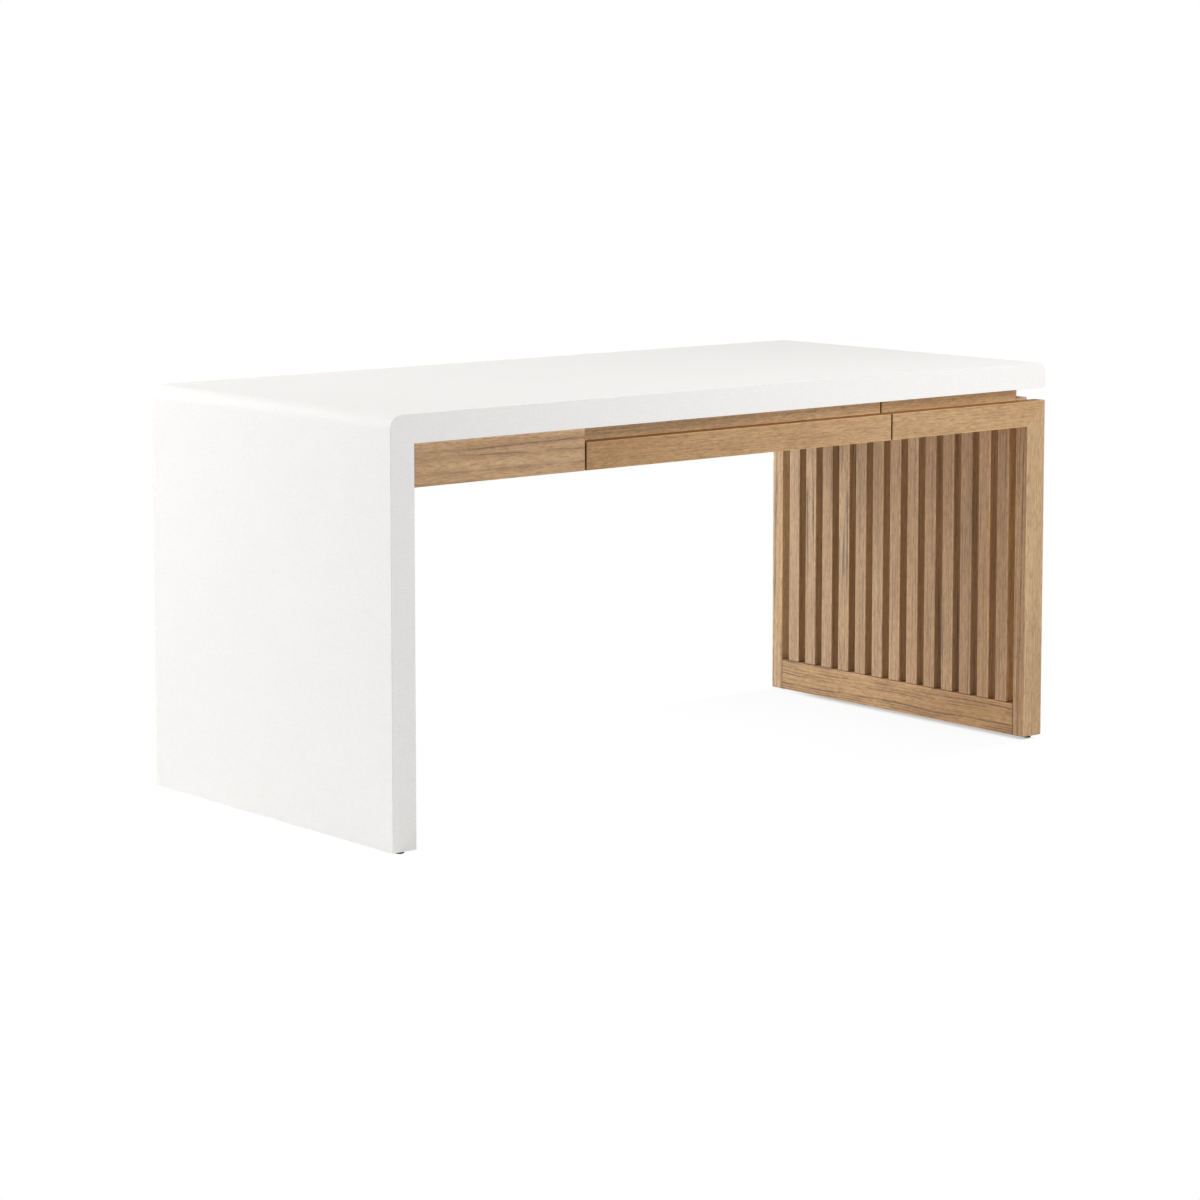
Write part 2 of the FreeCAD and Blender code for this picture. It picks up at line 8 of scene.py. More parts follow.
import bmesh
import bpy
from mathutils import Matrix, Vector

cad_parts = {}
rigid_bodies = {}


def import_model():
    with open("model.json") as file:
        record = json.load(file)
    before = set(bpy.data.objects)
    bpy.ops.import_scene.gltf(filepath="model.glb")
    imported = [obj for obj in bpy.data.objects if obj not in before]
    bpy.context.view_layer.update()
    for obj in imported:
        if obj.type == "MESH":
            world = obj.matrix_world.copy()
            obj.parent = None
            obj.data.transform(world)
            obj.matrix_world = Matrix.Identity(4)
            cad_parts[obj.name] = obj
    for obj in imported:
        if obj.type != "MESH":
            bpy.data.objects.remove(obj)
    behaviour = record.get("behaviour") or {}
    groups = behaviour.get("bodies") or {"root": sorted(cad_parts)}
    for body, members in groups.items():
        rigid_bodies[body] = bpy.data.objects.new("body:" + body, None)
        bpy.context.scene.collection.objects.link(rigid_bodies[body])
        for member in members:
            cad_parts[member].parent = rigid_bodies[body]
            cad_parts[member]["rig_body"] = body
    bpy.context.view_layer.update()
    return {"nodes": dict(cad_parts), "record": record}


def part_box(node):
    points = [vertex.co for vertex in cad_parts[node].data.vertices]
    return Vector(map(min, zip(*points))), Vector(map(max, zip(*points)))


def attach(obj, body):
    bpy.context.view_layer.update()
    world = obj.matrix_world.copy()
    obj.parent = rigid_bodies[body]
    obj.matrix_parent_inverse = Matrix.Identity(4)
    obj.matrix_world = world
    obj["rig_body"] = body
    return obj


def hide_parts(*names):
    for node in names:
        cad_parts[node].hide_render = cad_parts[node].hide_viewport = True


bl_info = {
    "name": "Waterfall Desk",
    "version": (1, 0, 0),
    "blender": (4, 5, 0),
    "location": "3D View > Sidebar > Desk",
    "description": "Models and finishes a waterfall writing desk with a slatted end and one drawer",
    "category": "Add Mesh",
}

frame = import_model()
SLOTS = {row["node"]: row["material_slot"] for row in frame["record"]["subparts"]}
X, Y, Z = range(3)
# Two places closer than this many metres are one.
NEAR = 1e-5
# A direction that has this share of its length along an axis runs along it.
ALONG = 0.99


def amount(name, description, default, **kind):
    """A setting that is a number, with a unit and limits where it has them."""
    return bpy.props.FloatProperty(name=name, description=description, default=default, **kind)


def length(name, description, default):
    """A setting in metres."""
    return amount(name, description, default, min=0.0, unit="LENGTH", precision=4)


def share(name, description, default):
    """A setting from nothing to one."""
    return amount(name, description, default, min=0.0, max=1.0, subtype="FACTOR")


def colour(name, description, default):
    """A colour setting in linear light."""
    return bpy.props.FloatVectorProperty(
        name=name, description=description, default=default, size=3, min=0.0, max=1.0, subtype="COLOR"
    )


class ShellSettings(bpy.types.PropertyGroup):
    """White shell: the desk top and the left leg in one piece."""

    corner_radius: length("Corner radius", "Round of the outer corner over the leg", 0.025)
    nose_radius: length("Nose radius", "Round of the top's right end", 0.022)
    arris: length("Arris", "Eased edge round the front and the back", 0.0009)
    coat: colour("Coat", "Colour of the sand-textured coat", (0.906, 0.897, 0.877))
    sand: length("Sand grain", "Size of the coat's sand grains", 0.002)
    relief: length("Sand relief", "Height of the coat's sand grains", 0.0002)


class TimberSettings(bpy.types.PropertyGroup):
    """Oiled solid timber of the front, the posts, the rails, the slats and the case."""

    arris: length("Arris", "Eased edge of a board", 0.0015)
    slat_arris: length("Slat arris", "Eased edge of a slat", 0.0022)
    seam: length("Seam", "Fine joint line between the bottom rail and a post", 0.0008)
    ring: length("Ring spacing", "Distance from one growth ring to the next", 0.0068)
    light: colour("Light wood", "Colour of the palest early wood", (0.66, 0.44, 0.25))
    middle: colour("Middle wood", "Colour between the rings", (0.57, 0.365, 0.195))
    dark: colour("Late wood", "Colour at the end of a growth ring", (0.37, 0.22, 0.11))
    vein: colour("Veins", "Colour of the dark mineral veins", (0.13, 0.095, 0.085))
    thread: length("Vein breadth", "Breadth of a dark mineral vein", 0.0022)
    # The narrow sides of the front boards are tinted darker and more orange: partly a darker sawn finish,
    # partly painted shade, which draws the dark line of the finger recess above the drawer front.
    edge: colour("Sawn edge", "Tint of the narrow sides of a front board", (0.66, 0.48, 0.23))
    # The strips' narrow sides are tinted down again, so that the painted light on the strips' faces stays off
    # them.
    strip: colour("Strip edge", "Tint of the narrow sides of a set-back strip", (0.6, 0.53, 0.46))
    # The sides of the slats are tinted darker and browner: partly a darker sawn finish, partly painted shade
    # of the narrow gaps between the slats.
    flank_finish_and_shade: colour("Slat flank", "Tint of the sides of a slat", (0.69, 0.575, 0.365))
    end: colour("End grain", "Tint of the sawn ends of a board", (0.34, 0.24, 0.12))
    nick: share("End arris", "How much of the light the eased edges at a board's ends give back", 0.7)
    # Painted highlight: the eased edges of a board are tinted lighter, to stand in for the light that they
    # catch.
    wear_and_highlight: amount("Rubbed arris", "How much lighter the eased edges are rubbed", 1.28, min=0.0)


class DrawerSettings(bpy.types.PropertyGroup):
    """Plywood box of the drawer."""

    arris: length("Arris", "Eased edge of a plywood board", 0.0006)
    layer: length("Layer", "Thickness of one layer of the plywood", 0.0015)
    pale: colour("Pale layer", "Colour of the face layers", (0.72, 0.56, 0.37))
    brown: colour("Brown layer", "Colour of the cross layers", (0.47, 0.31, 0.17))


class HardwareSettings(bpy.types.PropertyGroup):
    """Slides, screws, bolts and glides."""

    wall: length("Slide wall", "Sheet thickness of the slides", 0.0012)
    bend: length("Slide bend", "Outer round of the slides' bends", 0.0018)
    zinc: colour("Zinc", "Colour of the zinc plating", (0.62, 0.63, 0.64))
    brass: colour("Brass", "Colour of the threaded inserts", (0.72, 0.53, 0.24))
    nylon: colour("Nylon", "Colour of the glides", (0.018, 0.018, 0.019))


class StageSettings(bpy.types.PropertyGroup):
    """Floor, light and camera."""

    eye: bpy.props.FloatVectorProperty(
        name="Eye", description="Place of the camera", size=3, unit="LENGTH",
        default=(-4.1937, -4.9153, 1.3317),
    )
    yaw: amount("Yaw", "Camera's turn right of the depth axis", math.radians(40.216), unit="ROTATION")
    pitch: amount("Pitch", "Camera's tilt above the horizon", math.radians(-5.934), unit="ROTATION")
    lens: amount("Lens", "Focal length of the camera", 102.31, unit="CAMERA")
    shift: amount("Shift", "Upright lens shift", -0.15)
    sky: amount("Sky", "Strength of the even light all round", 0.444)
    key: amount("Key lamp", "Power of the large lamp at the left and behind", 171.0, unit="POWER")
    rim: amount("Rim lamp", "Power of the lamp behind the desk", 38.0, unit="POWER")
    fill: amount("Fill lamp", "Power of the lamp at the front right", 32.6, unit="POWER")
    contact: share("Contact shadow", "How much of its shadow the floor keeps under the slatted end", 0.5)
    contact_reach: length("Contact reach", "How far the contact shadow spreads from the slatted end", 0.014)
    contact_start: length("Contact start", "How far from the back post the contact shadow is full", 0.12)
    shadow: share("Floor shadow", "How much of its shadow the floor keeps beside the slatted end", 0.1)
    shadow_reach: length("Shadow reach", "How far the floor keeps a shadow under the desk", 0.5)
    lee: amount("Lee", "How many times sooner the shadow ends outside the desk than under it", 40.0)
    floor: colour("Floor", "Colour of the floor", (0.955, 0.96, 0.97))
    shade: colour("Floor shade", "Colour that the floor shows in the shadow", (0.87, 0.95, 1.0))


class Value:
    """A shader socket that takes part in Python sums. Each sum adds a Math node."""

    def __init__(self, finish, socket):
        self.finish = finish
        self.socket = socket

    def __add__(self, other):
        return self.finish.math("ADD", self, other)

    def __radd__(self, other):
        return self.finish.math("ADD", other, self)

    def __sub__(self, other):
        return self.finish.math("SUBTRACT", self, other)

    def __rsub__(self, other):
        return self.finish.math("SUBTRACT", other, self)

    def __mul__(self, other):
        return self.finish.math("MULTIPLY", self, other)

    def __rmul__(self, other):
        return self.finish.math("MULTIPLY", other, self)

    def __truediv__(self, other):
        return self.finish.math("DIVIDE", self, other)

    def __rtruediv__(self, other):
        return self.finish.math("DIVIDE", other, self)


class Finish:
    """The node tree of one finish."""

    MIX_FACTOR, MIX_FIRST, MIX_SECOND, MIX_RESULT = 0, 6, 7, 2

    def __init__(self, owner):
        owner.use_nodes = True
        self.owner = owner
        self.nodes = owner.node_tree.nodes
        self.links = owner.node_tree.links
        self.nodes.clear()

    def add(self, kind, sockets=None, settings=None, output=0):
        """Add a node: its settings first, then its sockets' values or links. Gives one output or several."""
        node = self.nodes.new("ShaderNode" + kind)
        for name, setting in (settings or {}).items():
            setattr(node, name, setting)
        for key, value in (sockets or {}).items():
            if isinstance(value, Value):
                self.links.new(value.socket, node.inputs[key])
            else:
                node.inputs[key].default_value = value
        if isinstance(output, tuple):
            return [Value(self, node.outputs[key]) for key in output]
        return Value(self, node.outputs[output])

    def math(self, operation, *values):
        """One Math node on values and numbers."""
        return self.add("Math", dict(enumerate(values)), {"operation": operation})

    def unsigned(self, value):
        """A value without its sign."""
        return self.math("ABSOLUTE", value)

    def parts(self, vector, *axes):
        """Some parts of a vector."""
        return self.add("SeparateXYZ", {0: vector}, output=axes)

    def between(self, value, low, high):
        """A smooth step from nothing at the low value to one at the high value."""
        sockets = {"Value": value, "From Min": low, "From Max": high}
        return self.add("MapRange", sockets, {"interpolation_type": "SMOOTHSTEP"})

    def noise(self, vector, density, detail=2.0, roughness=0.5):
        """Noise with its own density per metre along each axis."""
        placed = self.add("VectorMath", {0: vector, 1: density}, {"operation": "MULTIPLY"})
        sockets = {"Vector": placed, "Scale": 1.0, "Detail": detail, "Roughness": roughness}
        return self.add("TexNoise", sockets)

    def mark(self, grain, along, across, start, full, **kind):
        """Marks along a grain, from noise: its density per metre, and where a mark starts and is full."""
        return self.between(self.noise(grain, (along, across, across), **kind), start, full)

    def blend(self, first, second, factor, how="MIX"):
        """A mix of two colours."""
        sockets = {self.MIX_FACTOR: factor, self.MIX_FIRST: first, self.MIX_SECOND: second}
        settings = {"data_type": "RGBA", "blend_type": how}
        return self.add("Mix", sockets, settings, self.MIX_RESULT)

    def place(self):
        """The piece's own coordinates, in metres."""
        return self.add("TexCoord", output="Object")

    def attribute(self, name):
        """A vector kept on the piece's points or face corners."""
        return self.add("Attribute", settings={"attribute_name": name}, output="Vector")

    def bump(self, height, distance, strength=1.0):
        """A surface normal from a height of nothing to one."""
        return self.add("Bump", {"Height": height, "Distance": distance, "Strength": strength})

    def surface(self, **sockets):
        """End the finish in a Principled surface. Sockets are written with underscores for spaces."""
        named = {key.replace("_", " "): value for key, value in sockets.items()}
        shader = self.add("BsdfPrincipled", named)
        self.add("OutputMaterial", {"Surface": shader}, output=())
        return self.owner


def opaque(rgb):
    """A colour setting with full alpha."""
    return (*rgb, 1.0)


# A tint that changes nothing, and white as an opaque colour.
PLAIN = (1.0, 1.0, 1.0)
WHITE = opaque(PLAIN)


def finished(make):
    """The material that a function makes, made only once."""
    return bpy.data.materials.get(make.__name__) or make(Finish(bpy.data.materials.new(make.__name__)))


def white_sand_coat(finish):
    """Matt white coat with fine sand in it."""
    shell = bpy.context.scene.desk_shell
    place = finish.place()
    density = 1.0 / shell.sand
    sand = finish.noise(place, (density,) * 3, detail=3.0, roughness=0.62)
    dust = finish.noise(place, (density * 2.7,) * 3, detail=1.0)
    trowel = finish.noise(place, (5.0, 5.0, 5.0), detail=3.0)
    grit = finish.between(sand, 0.3, 0.7)
    worn = [0.92 * part for part in shell.coat]
    coat = finish.blend(opaque(worn), opaque(shell.coat), 0.2 * trowel + 0.8 * grit)
    return finish.surface(
        Base_Color=coat,
        Roughness=0.62 + 0.16 * grit,
        Specular_IOR_Level=0.3,
        Normal=finish.bump(0.7 * grit + 0.3 * dust, shell.relief),
    )


def oiled_teak(finish):
    """Solid timber in each board's own grain space: growth rings, veins, fibres, flecks and pores."""
    timber = bpy.context.scene.desk_timber
    grain = finish.attribute("grain")
    veins, waves, lines = finish.parts(finish.attribute("figure"), "X", "Y", "Z")
    across, through = finish.parts(grain, "Y", "Z")

    # Growth rings round the tree's heart, which sways along the trunk. No two years are equally broad.
    sway = finish.noise(grain, (2.3, 4.0, 4.0)) - 0.5
    drift = finish.noise(grain, (4.0, 9.0, 9.0)) - 0.5
    side = across + (0.006 + 0.03 * waves) * sway
    deep = through + 0.02 * waves * drift
    radius = finish.math("SQRT", side * side + deep * deep)
    one_way = {"noise_dimensions": "1D"}
    year = finish.add("TexNoise", {"W": 70.0 * radius, "Scale": 1.0, "Detail": 0.0}, one_way)
    rings = radius / timber.ring + 1.5 * year
    phase = finish.math("FRACT", rings)
    late = finish.between(phase, 0.05, 0.5) * (1.0 - finish.between(phase, 0.55, 1.0))
    lot = finish.add("TexWhiteNoise", {"W": finish.math("FLOOR", rings)}, one_way, "Value")

    # Some years hold a dark vein. Its breadth is measured along the face, which cuts the ring at a slant.
    slant = radius / (finish.unsigned(side) + 0.0008)
    offset = finish.unsigned(phase - 0.5) * timber.ring * slant
    stretch = finish.mark(grain, along=9.0, across=50.0, start=0.36, full=0.56)
    broken = finish.mark(grain, along=70.0, across=220.0, start=0.32, full=0.58)
    apart = finish.between(finish.unsigned(side), 0.001, 0.006)
    dark_ring = veins * finish.between(lot, 0.35, 0.6) * stretch * apart
    vein = dark_ring * (0.35 + 0.65 * broken) * (1.0 - finish.between(offset, 0.0004, timber.thread))
    halo = dark_ring * (1.0 - finish.between(offset, 0.0, 5.0 * timber.thread))

    # Marks along the grain, from broad clouds to fine pores.
    cloud = finish.mark(grain, along=2.6, across=18.0, start=0.3, full=0.7)
    streak = finish.mark(grain, along=2.4, across=300.0, start=0.54, full=0.66, detail=3.0, roughness=0.6)
    fibre = finish.mark(grain, along=18.0, across=560.0, start=0.42, full=0.75, detail=3.0, roughness=0.6)
    fleck = finish.mark(grain, along=50.0, across=340.0, start=0.5, full=0.66, detail=3.0, roughness=0.7)
    dash = finish.mark(grain, along=32.0, across=300.0, start=0.54, full=0.68, roughness=0.6)
    pore = finish.mark(grain, along=130.0, across=900.0, start=0.56, full=0.68, roughness=0.7)
    ripple = finish.noise(grain, (60.0, 420.0, 420.0), roughness=0.6)

    wood = finish.blend(opaque(timber.middle), opaque(timber.light), cloud)
    wood = finish.blend(wood, opaque(timber.dark), late * (0.06 + 0.2 * veins) + 0.42 * halo + 0.3 * fibre)
    wood = finish.blend(wood, opaque(timber.dark), 0.55 * fleck + 0.35 * dash + 0.4 * pore)
    wood = finish.blend(wood, opaque(timber.vein), 0.7 * vein + 0.65 * lines * streak)
    sockets = {0: finish.attribute("tint"), "Scale": 0.64 + 0.72 * ripple}
    tint = finish.add("VectorMath", sockets, {"operation": "SCALE"})
    return finish.surface(
        Base_Color=finish.blend(wood, tint, 1.0, "MULTIPLY"),
        Roughness=0.5 + 0.2 * pore + 0.1 * fibre,
        Specular_IOR_Level=0.3,
        Normal=finish.bump(0.5 * fibre - 0.6 * pore, distance=0.0003, strength=0.6),
    )


def birch_plywood(finish):
    """Pale plywood: plain rotary-cut faces and layers that show on the edges."""
    drawer = bpy.context.scene.desk_drawer
    grain = finish.attribute("grain")
    [through] = finish.parts(grain, "Z")
    layers = through / (2.0 * drawer.layer) + 0.25
    turn = finish.unsigned(finish.math("FRACT", layers) - 0.5)
    cross = finish.between(turn, 0.235, 0.265)
    figure = finish.mark(grain, along=2.2, across=26.0, start=0.35, full=0.75, detail=3.0, roughness=0.55)
    fibre = finish.noise(grain, (18.0, 520.0, 520.0), detail=3.0, roughness=0.6)
    fleck = finish.mark(grain, along=120.0, across=700.0, start=0.62, full=0.72, detail=1.0)
    wood = finish.blend(opaque(drawer.pale), opaque(drawer.brown), 0.85 * cross)
    shade = 0.3 * figure + 0.25 * finish.between(fibre, 0.4, 0.8) + 0.25 * fleck
    return finish.surface(
        Base_Color=finish.blend(wood, opaque(drawer.brown), shade),
        Roughness=0.42 + 0.15 * fibre,
        Specular_IOR_Level=0.4,
        Normal=finish.bump(fibre, distance=0.0001, strength=0.5),
    )


def turned_beech(finish):
    """Plain beech of the dowels and splines, with its short ray flecks."""
    pale, warm, ray = (0.62, 0.42, 0.25), (0.52, 0.33, 0.18), (0.36, 0.2, 0.1)
    place = finish.place()
    fleck = finish.between(finish.noise(place, (160.0, 160.0, 900.0)), 0.52, 0.68)
    cloud = finish.noise(place, (20.0, 20.0, 20.0))
    wood = finish.blend(opaque(pale), opaque(warm), cloud)
    return finish.surface(
        Base_Color=finish.blend(wood, opaque(ray), 0.5 * fleck),
        Roughness=0.6 + 0.1 * fleck,
        Normal=finish.bump(fleck, distance=0.0001, strength=0.4),
    )


def zinc_plated_steel(finish):
    """Rolled steel under bright zinc, with faint draw lines along the depth and a cloudy sheen."""
    hardware = bpy.context.scene.desk_hardware
    place = finish.place()
    lines = finish.noise(place, (1800.0, 12.0, 1800.0))
    cloud = finish.noise(place, (60.0, 60.0, 60.0), detail=3.0)
    dull = [0.8 * part for part in hardware.zinc]
    return finish.surface(
        Base_Color=finish.blend(opaque(dull), opaque(hardware.zinc), finish.between(cloud, 0.3, 0.7)),
        Metallic=1.0,
        Roughness=0.26 + 0.16 * lines + 0.1 * cloud,
        Normal=finish.bump(lines, distance=0.00003, strength=0.5),
    )


def turned_brass(finish):
    """Turned brass with fine tool rings and a little tarnish."""
    hardware = bpy.context.scene.desk_hardware
    place = finish.place()
    rings = finish.noise(place, (2400.0, 200.0, 200.0), detail=1.0)
    tarnish = finish.between(finish.noise(place, (300.0, 300.0, 300.0), detail=3.0), 0.45, 0.7)
    brown = [0.6 * part for part in hardware.brass]
    return finish.surface(
        Base_Color=finish.blend(opaque(hardware.brass), opaque(brown), 0.6 * tarnish),
        Metallic=1.0,
        Roughness=0.24 + 0.2 * tarnish,
        Normal=finish.bump(rings, distance=0.00004, strength=0.5),
    )


def black_nylon(finish):
    """Moulded black nylon, rubbed a little grey where it stands on the floor."""
    grey, rubbed_height = (0.09, 0.09, 0.09), 0.002
    place = finish.place()
    [height] = finish.parts(place, "Z")
    mould = finish.noise(place, (2600.0, 2600.0, 2600.0))
    scuff = finish.between(finish.noise(place, (700.0, 300.0, 700.0), detail=3.0), 0.5, 0.7)
    wear_and_highlight = scuff * (1.0 - finish.between(height, 0.0, rubbed_height))
    nylon = opaque(bpy.context.scene.desk_hardware.nylon)
    return finish.surface(
        Base_Color=finish.blend(nylon, opaque(grey), 0.7 * wear_and_highlight + 0.12 * mould),
        Roughness=0.55 + 0.3 * wear_and_highlight + 0.1 * mould,
        Specular_IOR_Level=0.12,
        Normal=finish.bump(mould, distance=0.00005, strength=0.6),
    )


def deselect():
    """Leave no object selected."""
    bpy.ops.object.select_all(action="DESELECT")


def activate(piece):
    """Select one object alone and make it the active one."""
    deselect()
    piece.select_set(True)
    bpy.context.view_layer.objects.active = piece


def start_block(name, low, high):
    """A cube that fills the space between two corners, with its place in its mesh."""
    low, high = Vector(low), Vector(high)
    deselect()
    bpy.ops.mesh.primitive_cube_add(size=1.0, location=(low + high) / 2, scale=high - low)
    bpy.ops.object.transform_apply(location=True, rotation=True, scale=True)
    piece = bpy.context.active_object
    piece.name = name
    piece.data.name = name
    return piece


def start_cylinder(sides, radius, height, foot):
    """An upright cylinder on its foot's middle, with its place in its mesh."""
    middle = Vector(foot) + Vector((0.0, 0.0, height / 2))
    deselect()
    bpy.ops.mesh.primitive_cylinder_add(vertices=sides, radius=radius, depth=height, location=middle)
    bpy.ops.object.transform_apply(location=True)
    return bpy.context.active_object


@contextlib.contextmanager
def editing(piece):
    """Edit mode on one piece, with nothing selected at its start."""
    activate(piece)
    bpy.ops.object.mode_set(mode="EDIT")
    bpy.ops.mesh.select_all(action="DESELECT")
    yield
    bpy.ops.object.mode_set(mode="OBJECT")


def select_faces(piece, wanted):
    """Select the faces whose middle and normal pass a test."""
    bpy.ops.mesh.select_mode(type="FACE")
    bpy.ops.mesh.select_all(action="DESELECT")
    mesh = bmesh.from_edit_mesh(piece.data)
    for face in mesh.faces:
        face.select_set(wanted(face.calc_center_median(), face.normal))
    bmesh.update_edit_mesh(piece.data)


def select_edges(piece, wanted):
    """Select the edges whose two ends pass a test."""
    bpy.ops.mesh.select_mode(type="EDGE")
    bpy.ops.mesh.select_all(action="DESELECT")
    mesh = bmesh.from_edit_mesh(piece.data)
    chosen = [edge for edge in mesh.edges if wanted(edge.verts[0].co, edge.verts[1].co)]
    for edge in chosen:
        edge.select_set(True)
    bmesh.update_edit_mesh(piece.data)


def cut(point, normal, keep_inner=False):
    """Cut the edited piece all through a plane, and drop what lies past it if it is a trim."""
    bpy.ops.mesh.select_all(action="SELECT")
    bpy.ops.mesh.bisect(plane_co=point, plane_no=normal, use_fill=keep_inner, clear_outer=keep_inner)


def extrude(move):
    """Extrude what is selected by a vector."""
    bpy.ops.mesh.extrude_region_move(TRANSFORM_OT_translate={"value": move})


def round_edges(radius, segments):
    """Round the selected edges."""
    bpy.ops.mesh.bevel(offset=radius, segments=segments, affect="EDGES", clamp_overlap=False)


def along_axis(start, end, axis):
    """Whether an edge runs along an axis."""
    run = end - start
    return run.length > NEAR and abs(run[axis]) > ALONG * run.length


def on_plane(point, plane):
    """Whether a point lies on a plane given by a point and a normal."""
    return abs((point - plane[0]).dot(plane[1])) < NEAR


def corners_of(points):
    """The lowest and the highest corner of some points."""
    low = Vector([min(point[axis] for point in points) for axis in (X, Y, Z)])
    high = Vector([max(point[axis] for point in points) for axis in (X, Y, Z)])
    return low, high


def nodes_in(slot):
    """The nodes of one material slot, in the order of their names."""
    return sorted(node for node, own in SLOTS.items() if own == slot)


def solids_of(node):
    """The points of each separate solid of a grouped node."""
    copy = bpy.data.objects.new(node + "_solid", frame["nodes"][node].data.copy())
    bpy.context.scene.collection.objects.link(copy)
    with editing(copy):
        bpy.ops.mesh.select_all(action="SELECT")
        bpy.ops.mesh.remove_doubles(threshold=NEAR)
        bpy.ops.mesh.separate(type="LOOSE")
    solids = [[vertex.co.copy() for vertex in part.data.vertices] for part in bpy.context.selected_objects]
    bpy.ops.object.delete()
    return solids


def joined(parts, name):
    """Several objects made one."""
    deselect()
    for part in parts:
        part.select_set(True)
    bpy.context.view_layer.objects.active = parts[0]
    bpy.ops.object.join()
    parts[0].name = name
    parts[0].data.name = name
    return parts[0]


def smooth(piece):
    """Smooth the rounds and keep the flats flat."""
    activate(piece)
    bpy.ops.object.shade_smooth_by_angle(angle=math.radians(40))
    bpy.ops.object.modifier_add(type="WEIGHTED_NORMAL")
    flats = piece.modifiers[-1]
    flats.keep_sharp = True
    bpy.ops.object.modifier_apply(modifier=flats.name)


def hand_over(piece, node, make):
    """Give a piece its finish and let it stand for a node, on the node's body."""
    smooth(piece)
    piece.data.materials.clear()
    piece.data.materials.append(finished(make))
    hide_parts(node)
    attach(piece, frame["nodes"][node]["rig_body"])


class Heart(NamedTuple):
    """Where a board lies in its tree, in metres.

    That is its place along the trunk, its distances from the tree's heart across and through the board, and
    how much the last one grows per metre.
    """

    start: float
    side: float
    deep: float
    lean: float = 0.01


class Figure(NamedTuple):
    """How strong a board's dark veins, the waves of its rings and its fine dark lines are."""

    veins: float
    waves: float
    lines: float


QUIET = Figure(0.18, 0.35, 0.2)
CLEAR = Figure(0.1, 0.35, 0.25)
LINED = Figure(0.5, 0.35, 0.9)
POINTED = Figure(0.95, 0.02, 0.3)
WAVY = Figure(1.0, 1.0, 0.3)


class Look(NamedTuple):
    """How a board is sawn and tinted.

    The cheek is the figure of its narrow sides, where they have their own, and the edge is their tint. The
    end is the tint of its ends, where they aren't plain end grain. The fade is how much of each colour the
    board gains along its length.
    """

    heart: Heart
    tint: tuple = PLAIN
    figure: Figure = QUIET
    cheek: Figure = None
    edge: tuple = PLAIN
    end: tuple = None
    fade: tuple = (0.0, 0.0, 0.0)


def face_tint(face, along, across, look):
    """The tint of one face on top of its board's own, by the way that the face looks."""
    timber = bpy.context.scene.desk_timber
    end_share = 0.3
    if abs(face.normal[along]) > ALONG:
        return look.end or timber.end
    if abs(face.normal[across]) > ALONG:
        return look.edge
    if max(abs(part) for part in face.normal) > ALONG:
        return PLAIN
    if abs(face.normal[along]) > end_share:
        return look.end or (timber.nick,) * 3
    # Painted highlight on the eased edges along a board.
    return (timber.wear_and_highlight,) * 3


def lay_grain(piece, along, thickness, look):
    """Keep each point's place in the tree, and each face's figure and tint."""
    across = ({X, Y, Z} - {along, thickness}).pop()
    mesh = piece.data
    low, high = corners_of([vertex.co for vertex in mesh.vertices])
    middle, run = (low + high) / 2, high[along] - low[along]
    heart = look.heart
    grain = mesh.attributes.new("grain", "FLOAT_VECTOR", "POINT")
    marks = mesh.attributes.new("figure", "FLOAT_VECTOR", "CORNER")
    shade = mesh.attributes.new("tint", "FLOAT_VECTOR", "CORNER")
    for point, vertex in enumerate(mesh.vertices):
        place = vertex.co - middle
        depth = heart.deep + place[thickness] + heart.lean * place[along]
        grain.data[point].vector = (heart.start + place[along], heart.side + place[across], depth)
    for face in mesh.polygons:
        facing = max((X, Y, Z), key=lambda axis: abs(face.normal[axis]))
        figure = look.cheek if look.cheek and facing == across else look.figure
        kept = face_tint(face, along, across, look)
        for corner in face.loop_indices:
            place = mesh.vertices[mesh.loops[corner].vertex_index].co - middle
            gains = [1.0 + gain * place[along] / run for gain in look.fade]
            marks.data[corner].vector = figure
            shade.data[corner].vector = [
                own * part * gain for own, part, gain in zip(look.tint, kept, gains, strict=True)
            ]


def eased_block(name, low, high, arris=None, mitre=None):
    """A block between two corners, cut at its mitre and eased along its other edges."""
    piece = start_block(name, low, high)

    def eased(start, end):
        return not (mitre and on_plane(start, mitre) and on_plane(end, mitre))

    with editing(piece):
        if mitre:
            cut(*mitre, keep_inner=True)
        select_edges(piece, eased)
        round_edges(arris or bpy.context.scene.desk_timber.arris, segments=2)
    return piece


def board(node, along, thickness, look, make=oiled_teak, space=None, **shape):
    """One board in the place of a node, with the arris and the mitre of its shape."""
    piece = eased_block(node + "_board", *(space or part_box(node)), **shape)
    lay_grain(piece, along, thickness, look)
    hand_over(piece, node, make)


